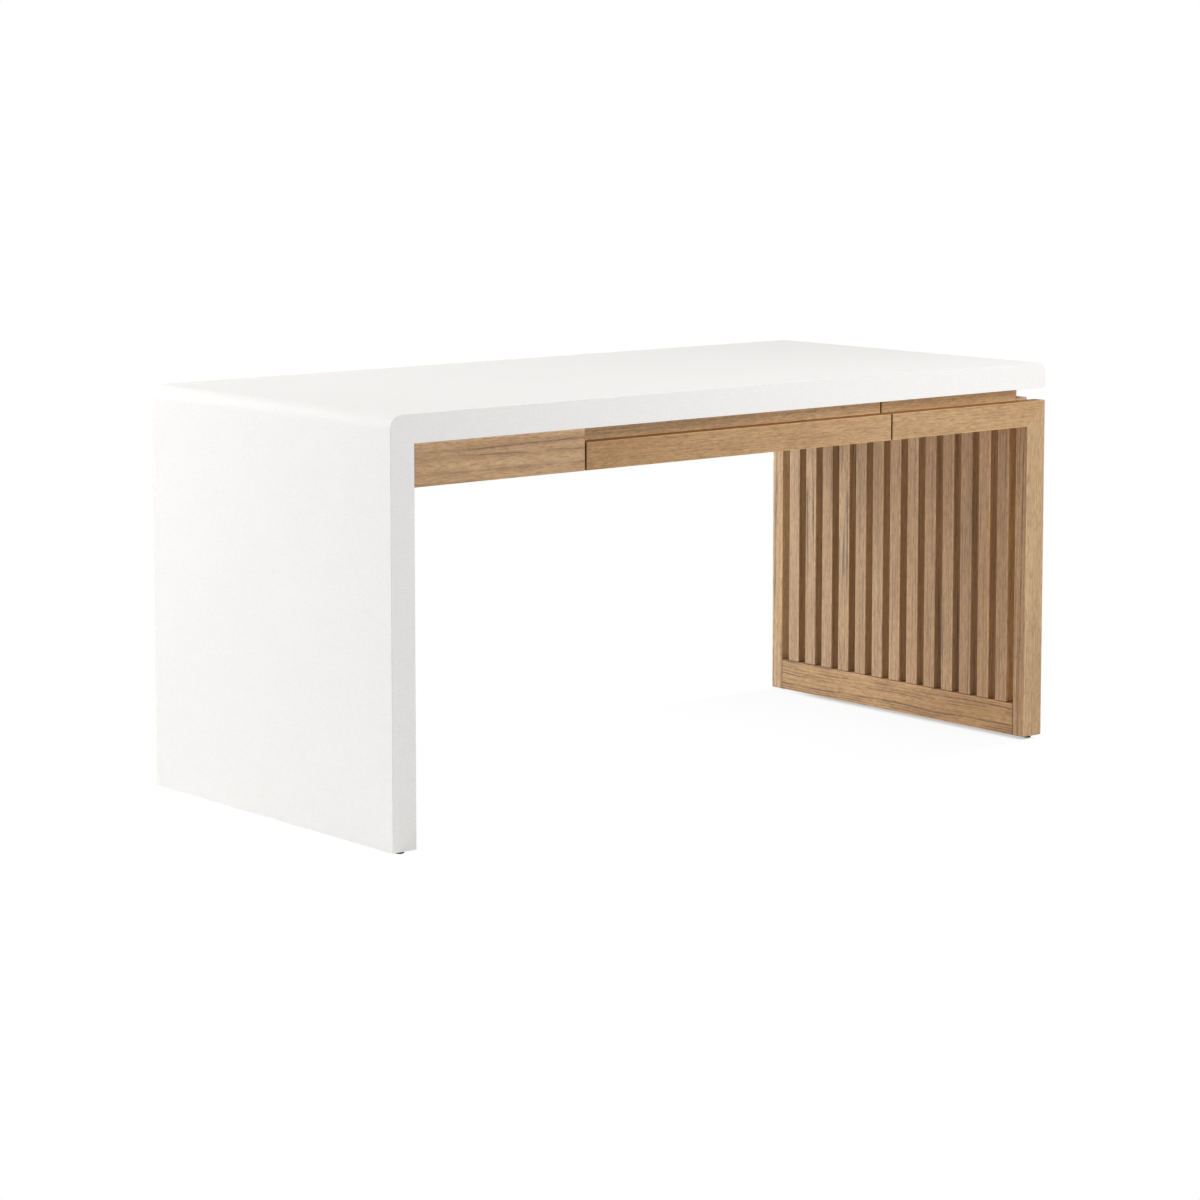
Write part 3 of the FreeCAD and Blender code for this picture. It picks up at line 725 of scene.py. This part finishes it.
class DESK_OT_white_shell(bpy.types.Operator):
    """Model the white shell: a slab that folds down into the left leg"""

    bl_idname = "desk.white_shell"
    bl_label = "White Shell"

    def execute(self, context):
        shell = context.scene.desk_shell
        low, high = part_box("waterfall_shell")
        apron_low, apron_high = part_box("left_apron")
        x_leg, z_under = apron_low.x, apron_high.z
        piece = start_block("white_shell", (low.x, low.y, z_under), high)

        def on_rim(start, end):
            inner = all(point.x > x_leg - NEAR and point.z < z_under + NEAR for point in (start, end))
            flat = abs(start.y - end.y) < NEAR and min(abs(start.y - low.y), abs(start.y - high.y)) < NEAR
            return flat and not inner

        with editing(piece):
            cut((x_leg, 0.0, 0.0), (1.0, 0.0, 0.0))
            select_faces(piece, lambda middle, normal: normal.z < -ALONG and middle.x < x_leg)
            extrude((0.0, 0.0, low.z - z_under))
            for x, radius in ((low.x, shell.corner_radius), (high.x, shell.nose_radius)):
                select_edges(
                    piece,
                    lambda start, end: along_axis(start, end, Y)
                    and abs(start.x - x) < NEAR
                    and abs(start.z - high.z) < NEAR,
                )
                round_edges(radius, segments=12)
            bpy.ops.mesh.select_all(action="SELECT")
            bpy.ops.mesh.dissolve_limited(angle_limit=math.radians(0.5))
            select_edges(piece, on_rim)
            round_edges(shell.arris, segments=3)
        hand_over(piece, "waterfall_shell", white_sand_coat)
        return {"FINISHED"}


def mitre_plane():
    """The mitre between a rail and a post: a point on it, and its normal away from the rail."""
    low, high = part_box("right_front_rail")
    post_low, post_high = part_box("front_post")
    run = Vector((post_high.x - post_low.x, 0.0, high.z - low.z))
    normal = Vector((run.z, 0.0, -run.x)).normalized()
    return Vector((post_low.x, 0.0, low.z)), normal


class DESK_OT_mitred_frames(bpy.types.Operator):
    """Model the front and rear rails and the posts that they meet in a mitre"""

    bl_idname = "desk.mitred_frames"
    bl_label = "Mitred Frames"

    def execute(self, context):
        # The rails' narrow sides take the dark edge tint, which is partly painted shade of the finger recess.
        edge = context.scene.desk_timber.edge
        shaded_side, lit_side = (1.07, 1.01, 0.955), (1.13, 1.245, 1.515)
        rails = {
            "right_front_rail": Look(Heart(2.4, 0.09, 0.03), tint=(0.895, 0.855, 0.765), edge=edge),
            "rear_rail": Look(Heart(0.7, 0.02, 0.05, -0.01), tint=(0.95, 0.93, 0.88), edge=edge),
        }
        posts = {
            "front_post": Look(Heart(1.3, 0.07, 0.05), (0.97, 0.983, 1.008), CLEAR, LINED, shaded_side),
            "back_post": Look(Heart(3.1, 0.08, 0.03), (1.015, 0.99, 0.88), CLEAR, LINED, lit_side),
        }
        point, normal = mitre_plane()
        for node, look in rails.items():
            board(node, X, Y, look, mitre=(point, normal))
        for node, look in posts.items():
            board(node, Z, Y, look, mitre=(point, -normal))
        return {"FINISHED"}


class DESK_OT_front_boards(bpy.types.Operator):
    """Model the apron, the drawer's two front boards and the set-back fascias"""

    bl_idname = "desk.front_boards"
    bl_label = "Front Boards"

    def execute(self, context):
        # The front boards' narrow sides take the dark edge tint, which is partly painted shade of the finger
        # recess.
        edge, strip = context.scene.desk_timber.edge, context.scene.desk_timber.strip
        apron = Heart(3.1, -0.0125, 0.1011, -0.00172)
        front, box_front = Heart(0.4, 0.09, 0.05), Heart(2.9, 0.07, 0.03)
        looks = {
            "left_apron": Look(apron, (0.93, 0.895, 0.88), POINTED, edge=edge),
            "drawer_front": Look(front, (0.84, 0.78, 0.68), edge=edge, fade=(0.29, 0.38, 0.54)),
            # The set-back strips under the top are tinted half as light again: painted light, which lifts the
            # shade that the recess under the top casts on them. The drawer's strip is also a little paler
            # towards its right end.
            "drawer_box_front": Look(box_front, (1.47, 1.565, 1.595), edge=strip, fade=(0.1, 0.1, 0.1)),
            "right_fascia": Look(Heart(1.1, 0.06, 0.03), (1.51, 1.565, 1.545), edge=strip),
            "rear_fascia": Look(Heart(2.2, 0.05, 0.03), (1.05, 1.04, 1.02), edge=edge),
        }
        for node, look in looks.items():
            board(node, X, Y, look)
        return {"FINISHED"}


class DESK_OT_end_rails(bpy.types.Operator):
    """Model the bottom and top rail of the slatted end"""

    bl_idname = "desk.end_rails"
    bl_label = "End Rails"

    def execute(self, context):
        seam = context.scene.desk_timber.seam
        front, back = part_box("front_post")[1].y + seam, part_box("back_post")[0].y - seam
        low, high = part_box("end_bottom_rail")
        space = ((low.x, front, low.z), (high.x, back, high.z))
        bottom = Look(
            Heart(1.27, 0.081, 0.01, 0.0), tint=(0.997, 0.967, 0.9), figure=WAVY, fade=(0.0, 0.08, 0.14)
        )
        # The top rail's narrow sides and ends are tinted much lighter: painted light, for the light that
        # comes in under the top from the open end.
        top = Look(
            Heart(3.3, 0.06, 0.03),
            tint=(0.955, 0.92, 0.85),
            figure=WAVY,
            edge=(1.5, 1.45, 1.35),
            end=(1.75, 2.2, 2.95),
            fade=(0.12, 0.12, 0.12),
        )
        board("end_bottom_rail", Y, X, bottom, space=space)
        board("end_top_rail", Y, X, top)
        return {"FINISHED"}


class DESK_OT_slats(bpy.types.Operator):
    """Model the upright slats between the end rails"""

    bl_idname = "desk.slats"
    bl_label = "Slats"

    def execute(self, context):
        draw = random.Random("slats")
        timber = context.scene.desk_timber
        foot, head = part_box("end_bottom_rail")[1].z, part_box("end_top_rail")[0].z
        tones = (0.93, 1.07, 0.94, 0.98, 1.02, 1.05, 1.05, 0.98, 0.92, 1.08, 0.99, 0.97, 0.98)
        # The wide front post keeps more light from the first slat's side, which is tinted paler for it.
        first_flank = (1.053, 0.954, 0.666)
        nodes = [node for node in nodes_in("teak") if node.startswith("slat_")]
        for number, (node, tone) in enumerate(zip(nodes, tones, strict=True)):
            low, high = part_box(node)
            far = number / len(nodes)
            figure = Figure(veins=draw.uniform(0.0, 0.5), waves=0.3, lines=draw.uniform(0.5, 1.3))
            side = draw.choice((-1, 1)) * draw.uniform(0.03, 0.1)
            look = Look(
                Heart(draw.uniform(0.0, 4.0), side, draw.uniform(0.02, 0.06), draw.uniform(-0.02, 0.02)),
                tint=(tone, tone * (0.98 + 0.1 * far), tone * (1.0 + 0.22 * far)),
                figure=figure,
                # The slat's sides take the dark side tint, which is partly painted shade of the gaps between
                # the slats.
                edge=[part / tone for part in (timber.flank_finish_and_shade if number else first_flank)],
                fade=(0.08, 0.08, 0.08),
            )
            space = ((low.x, low.y, foot), (high.x, high.y, head))
            board(node, Z, X, look, space=space, arris=timber.slat_arris)
        return {"FINISHED"}


class DESK_OT_case_boards(bpy.types.Operator):
    """Model the boards of the case and the cleats that hold the top"""

    bl_idname = "desk.case_boards"
    bl_label = "Case Boards"

    def execute(self, context):
        nodes = ("case_left_end", "case_right_end", "left_partition", "right_partition")
        for number, node in enumerate(nodes):
            board(node, Y, X, Look(Heart(0.9 * number, 0.05, 0.02), tint=(0.96, 0.97, 0.99)))
        battens = []
        for number, points in enumerate(solids_of("top_cleats")):
            low, high = corners_of(points)
            run = high - low
            battens.append(eased_block("top_cleats_batten", low, high))
            look = Look(Heart(0.7 * number, 0.03, 0.03), tint=(0.98, 0.98, 1.0))
            lay_grain(battens[-1], X if run.x > run.y else Y, Z, look)
        hand_over(joined(battens, "top_cleats_battens"), "top_cleats", oiled_teak)
        return {"FINISHED"}


class DESK_OT_drawer_box(bpy.types.Operator):
    """Model the plywood sides, back and bottom of the drawer"""

    bl_idname = "desk.drawer_box"
    bl_label = "Drawer Box"

    def execute(self, context):
        arris = context.scene.desk_drawer.arris
        axes = {
            "drawer_left_side": (Y, X),
            "drawer_right_side": (Y, X),
            "drawer_back": (X, Y),
            "drawer_bottom": (X, Z),
        }
        for number, (node, (along, thickness)) in enumerate(axes.items()):
            look = Look(Heart(0.8 * number, 0.0, 0.0, 0.0))
            board(node, along, thickness, look, make=birch_plywood, arris=arris)
        return {"FINISHED"}


class DESK_OT_slides(bpy.types.Operator):
    """Fold the three sheet-steel members of each drawer slide"""

    bl_idname = "desk.slides"
    bl_label = "Drawer Slides"

    def execute(self, context):
        for side, outward in (("left", -1), ("right", 1)):
            for kind, web_way in (("outer", outward), ("middle", outward), ("inner", -outward)):
                self.fold(f"slide_{kind}_{side}", web_way, context.scene.desk_hardware)
        return {"FINISHED"}

    def fold(self, node, web_way, hardware):
        """A channel whose web stands at one side of the node: a strip with its long edges folded over."""
        low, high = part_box(node)
        web, lip = (low.x, high.x) if web_way < 0 else (high.x, low.x)
        deselect()
        bpy.ops.mesh.primitive_plane_add(
            size=1.0,
            location=(web, (low.y + high.y) / 2, (low.z + high.z) / 2),
            rotation=(0.0, math.radians(90), 0.0),
        )
        piece = bpy.context.active_object
        piece.name = node + "_steel"
        piece.scale = (high.z - low.z, high.y - low.y, 1.0)
        bpy.ops.object.transform_apply(location=True, rotation=True, scale=True)
        with editing(piece):
            select_edges(piece, lambda start, end: along_axis(start, end, Y))
            extrude((lip - web, 0.0, 0.0))
            select_edges(piece, lambda start, end: along_axis(start, end, Y) and abs(start.x - web) < NEAR)
            round_edges(hardware.bend, segments=4)
            bpy.ops.mesh.select_all(action="SELECT")
            bpy.ops.mesh.normals_make_consistent(inside=False)
        activate(piece)
        bpy.ops.object.modifier_add(type="SOLIDIFY")
        wall = piece.modifiers[-1]
        wall.thickness = hardware.wall
        wall.offset = -1.0
        bpy.ops.object.modifier_apply(modifier=wall.name)
        hand_over(piece, node, zinc_plated_steel)


class ScrewPlace(NamedTuple):
    """A screw's seat, its way out of the wood, and the radius and the length of its head and its shank."""

    seat: Vector
    way: Vector
    head: float
    rise: float
    shank: float
    length: float


class DESK_OT_screws(bpy.types.Operator):
    """Model the screws and bolts with their cross-driven heads"""

    bl_idname = "desk.screws"
    bl_label = "Screws"

    def execute(self, context):
        for node in nodes_in("screw_steel"):
            places = [self.measure(points) for points in solids_of(node)]
            pattern = self.pattern(places[0])
            screws = [self.placed(pattern, place) for place in places]
            bpy.data.objects.remove(pattern)
            hand_over(joined(screws, node + "_zinc"), node, zinc_plated_steel)
        return {"FINISHED"}

    def measure(self, points):
        """A screw's place, read from its solid's points."""
        low, high = corners_of(points)
        run = high - low
        axis = max((X, Y, Z), key=lambda index: run[index])
        middle = (low + high) / 2

        def off_axis(point):
            return math.hypot(*[point[index] - middle[index] for index in (X, Y, Z) if index != axis])

        widest = max(points, key=off_axis)
        head_is_low = widest[axis] - low[axis] < high[axis] - widest[axis]
        top, tip = (low[axis], high[axis]) if head_is_low else (high[axis], low[axis])
        seat = middle.copy()
        seat[axis] = widest[axis]
        way = Vector((0.0, 0.0, 0.0))
        way[axis] = -1.0 if head_is_low else 1.0
        return ScrewPlace(
            seat,
            way,
            head=off_axis(widest),
            rise=abs(top - widest[axis]),
            shank=max(off_axis(point) for point in points if abs(point[axis] - tip) < NEAR),
            length=abs(tip - widest[axis]),
        )

    def pattern(self, place):
        """One screw at the origin with its head up: a domed head with a cross recess, and a pointed shank."""
        head, rise = place.head, place.rise
        rim, core, arm = 0.12 * head, 0.7 * head, 0.13 * head
        dome, recess = 0.55 * rise, 0.7 * rise
        point, point_width = 0.2 * place.length, 0.12
        piece = start_cylinder(sides=24, radius=head, height=rise, foot=(0.0, 0.0, 0.0))

        def crown(middle, normal):
            return normal.z > ALONG and abs(middle.z - rise) < NEAR

        def crown_core(middle, normal):
            return crown(middle, normal) and middle.xy.length < core

        def cross(middle, normal):
            return crown_core(middle, normal) and min(abs(middle.x), abs(middle.y)) < arm

        with editing(piece):
            select_edges(piece, lambda start, end: min(start.z, end.z) > rise - NEAR)
            round_edges(dome, segments=4)
            select_faces(piece, crown)
            bpy.ops.mesh.inset(thickness=rim)
            for normal in ((1.0, 0.0, 0.0), (0.0, 1.0, 0.0)):
                for offset in (-arm, arm):
                    select_faces(piece, crown_core)
                    bpy.ops.mesh.bisect(plane_co=[offset * part for part in normal], plane_no=normal)
            select_faces(piece, cross)
            extrude((0.0, 0.0, -recess))
            select_faces(piece, lambda middle, normal: normal.z < -ALONG and abs(middle.z) < NEAR)
            bpy.ops.mesh.inset(thickness=head - place.shank)
            extrude((0.0, 0.0, point - place.length))
            extrude((0.0, 0.0, -point))
            bpy.ops.transform.resize(value=(point_width, point_width, 1.0))
        return piece

    def placed(self, pattern, place):
        """A copy of the screw with its own mesh, turned and moved to its seat."""
        activate(pattern)
        bpy.ops.object.duplicate()
        screw = bpy.context.active_object
        screw.rotation_mode = "QUATERNION"
        screw.rotation_quaternion = Vector((0.0, 0.0, 1.0)).rotation_difference(place.way)
        screw.location = place.seat
        bpy.ops.object.transform_apply(location=True, rotation=True, scale=True)
        return screw


class DESK_OT_glides(bpy.types.Operator):
    """Model the round nylon glides under the leg and the posts"""

    bl_idname = "desk.glides"
    bl_label = "Glides"

    def execute(self, context):
        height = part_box("waterfall_shell")[0].z
        groove_low, groove_high, foot_round = 0.62 * height, 0.8 * height, 0.25 * height

        def groove(middle, normal):
            return abs(normal.z) < 1.0 - ALONG and groove_low < middle.z < groove_high

        for node in nodes_in("glide_nylon"):
            low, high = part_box(node)
            radius = (high.x - low.x) / 2
            groove_depth = 0.07 * radius
            foot = ((low.x + high.x) / 2, (low.y + high.y) / 2, 0.0)
            piece = start_cylinder(sides=40, radius=radius, height=height, foot=foot)
            piece.name = node + "_nylon"
            with editing(piece):
                for level in (groove_low, groove_high):
                    cut((0.0, 0.0, level), (0.0, 0.0, 1.0))
                select_edges(piece, lambda start, end: max(start.z, end.z) < NEAR)
                round_edges(foot_round, segments=4)
                select_faces(piece, groove)
                bpy.ops.mesh.extrude_region_shrink_fatten(TRANSFORM_OT_shrink_fatten={"value": -groove_depth})
            hand_over(piece, node, black_nylon)
        return {"FINISHED"}


class DESK_OT_hidden_joinery(bpy.types.Operator):
    """Finish the dowels, splines and threaded inserts that the boards hide"""

    bl_idname = "desk.hidden_joinery"
    bl_label = "Hidden Joinery"

    def execute(self, context):
        for slot, make in {"dowel_beech": turned_beech, "insert_brass": turned_brass}.items():
            for node in nodes_in(slot):
                materials = frame["nodes"][node].data.materials
                materials.clear()
                materials.append(finished(make))
        return {"FINISHED"}


def seen(finish):
    """One for the rays that show the white surroundings: straight, mirrored and through glass."""
    rays = ("Is Camera Ray", "Is Glossy Ray", "Is Transmission Ray")
    straight, mirrored, through = finish.add("LightPath", output=rays)
    return finish.math("MINIMUM", straight + mirrored + through, 1.0)


def white_floor(finish):
    """White floor that keeps a shadow where the slatted end meets it, and a little of it beside that."""
    stage = bpy.context.scene.desk_stage
    low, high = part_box("end_bottom_rail")
    back, end = (corner.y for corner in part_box("back_post"))
    x, y = finish.parts(finish.place(), "X", "Y")
    inside = finish.math("MAXIMUM", low.x - x, 0.0)
    outside = finish.math("MAXIMUM", x - high.x, 0.0) * stage.lee
    beyond = finish.math("MAXIMUM", finish.unsigned(y) - end, 0.0) * stage.lee
    gap = finish.math("SQRT", inside * inside + outside * outside + beyond * beyond)
    contact = 1.0 - finish.between(gap, 0.0, stage.contact_reach)
    contact = contact * finish.between(back - y, 0.0, stage.contact_start)
    shadow = 1.0 - finish.between(gap, 0.0, stage.shadow_reach)
    kept = stage.shadow * shadow + (stage.contact - stage.shadow) * contact
    shown = seen(finish)
    lit = finish.add("BsdfDiffuse", {"Color": opaque(stage.floor)})
    shaded = finish.add("BsdfDiffuse", {"Color": opaque(stage.shade)})
    matt = finish.add("MixShader", {0: shown, 1: lit, 2: shaded})
    white = finish.add("Emission", {"Color": WHITE, "Strength": 1.0})
    floor = finish.add("MixShader", {0: shown * (1.0 - kept), 1: matt, 2: white})
    finish.add("OutputMaterial", {"Surface": floor}, output=())
    return finish.owner


class DESK_OT_stage(bpy.types.Operator):
    """Set up the white floor, the soft light and the camera"""

    bl_idname = "desk.stage"
    bl_label = "Stage"

    def execute(self, context):
        stage = context.scene.desk_stage
        context.scene.view_settings.view_transform = "Standard"
        self.sky(context, stage)
        self.floor(context)
        self.lamp("key_lamp", stage.key, size=3.0, place=(-3.765, 3.159, 3.841))
        self.lamp("rim_lamp", stage.rim, size=2.0, place=(-1.813, 3.14, 2.09))
        self.lamp("fill_lamp", stage.fill, size=1.5, place=(0.969, -2.079, 2.006))
        self.camera(context, stage)
        return {"FINISHED"}

    def sky(self, context, stage):
        """Even light all round, on a background that shows white."""
        context.scene.world = bpy.data.worlds.new("studio_sky")
        finish = Finish(context.scene.world)
        light = finish.add("Background", {"Color": WHITE, "Strength": stage.sky})
        white = finish.add("Background", {"Color": WHITE, "Strength": 1.0})
        shown = finish.add("MixShader", {0: seen(finish), 1: light, 2: white})
        finish.add("OutputWorld", {"Surface": shown}, output=())

    def floor(self, context):
        """A wide white floor."""
        deselect()
        bpy.ops.mesh.primitive_plane_add(size=80.0)
        floor = context.active_object
        floor.name = "studio_floor"
        floor.data.materials.append(finished(white_floor))

    def lamp(self, name, power, size, place):
        """A large square lamp that faces the middle of the desk."""
        middle = Vector((0.0, 0.0, 0.4))
        turn = (middle - Vector(place)).to_track_quat("-Z", "Y").to_euler()
        bpy.ops.object.light_add(type="AREA", location=place, rotation=turn)
        lamp = bpy.context.active_object
        lamp.name = name
        lamp.data.energy = power
        lamp.data.size = size

    def camera(self, context, stage):
        """The camera that the scene is seen through."""
        upright = math.radians(90)
        bpy.ops.object.camera_add(location=stage.eye, rotation=(upright + stage.pitch, 0.0, -stage.yaw))
        camera = context.active_object
        camera.data.lens = stage.lens
        camera.data.shift_y = stage.shift
        context.scene.camera = camera


SETTINGS = {
    "desk_shell": ShellSettings,
    "desk_timber": TimberSettings,
    "desk_drawer": DrawerSettings,
    "desk_hardware": HardwareSettings,
    "desk_stage": StageSettings,
}
OPERATORS = (
    DESK_OT_white_shell,
    DESK_OT_mitred_frames,
    DESK_OT_front_boards,
    DESK_OT_end_rails,
    DESK_OT_slats,
    DESK_OT_case_boards,
    DESK_OT_drawer_box,
    DESK_OT_slides,
    DESK_OT_screws,
    DESK_OT_glides,
    DESK_OT_hidden_joinery,
    DESK_OT_stage,
)


class DESK_PT_pieces(bpy.types.Panel):
    """Sidebar list of the desk's pieces"""

    bl_idname = "DESK_PT_pieces"
    bl_label = "Waterfall Desk"
    bl_space_type = "VIEW_3D"
    bl_region_type = "UI"
    bl_category = "Desk"

    def draw(self, context):
        for operator in OPERATORS:
            self.layout.operator(operator.bl_idname)


CLASSES = (*SETTINGS.values(), *OPERATORS, DESK_PT_pieces)


def register():
    for kind in CLASSES:
        bpy.utils.register_class(kind)
    for name, settings in SETTINGS.items():
        setattr(bpy.types.Scene, name, bpy.props.PointerProperty(type=settings))


def unregister():
    for name in SETTINGS:
        delattr(bpy.types.Scene, name)
    for kind in reversed(CLASSES):
        bpy.utils.unregister_class(kind)


def main():
    register()
    bpy.ops.desk.white_shell()
    bpy.ops.desk.mitred_frames()
    bpy.ops.desk.front_boards()
    bpy.ops.desk.end_rails()
    bpy.ops.desk.slats()
    bpy.ops.desk.case_boards()
    bpy.ops.desk.drawer_box()
    bpy.ops.desk.slides()
    bpy.ops.desk.screws()
    bpy.ops.desk.glides()
    bpy.ops.desk.hidden_joinery()
    bpy.ops.desk.stage()


if __name__ == "__main__":
    main()
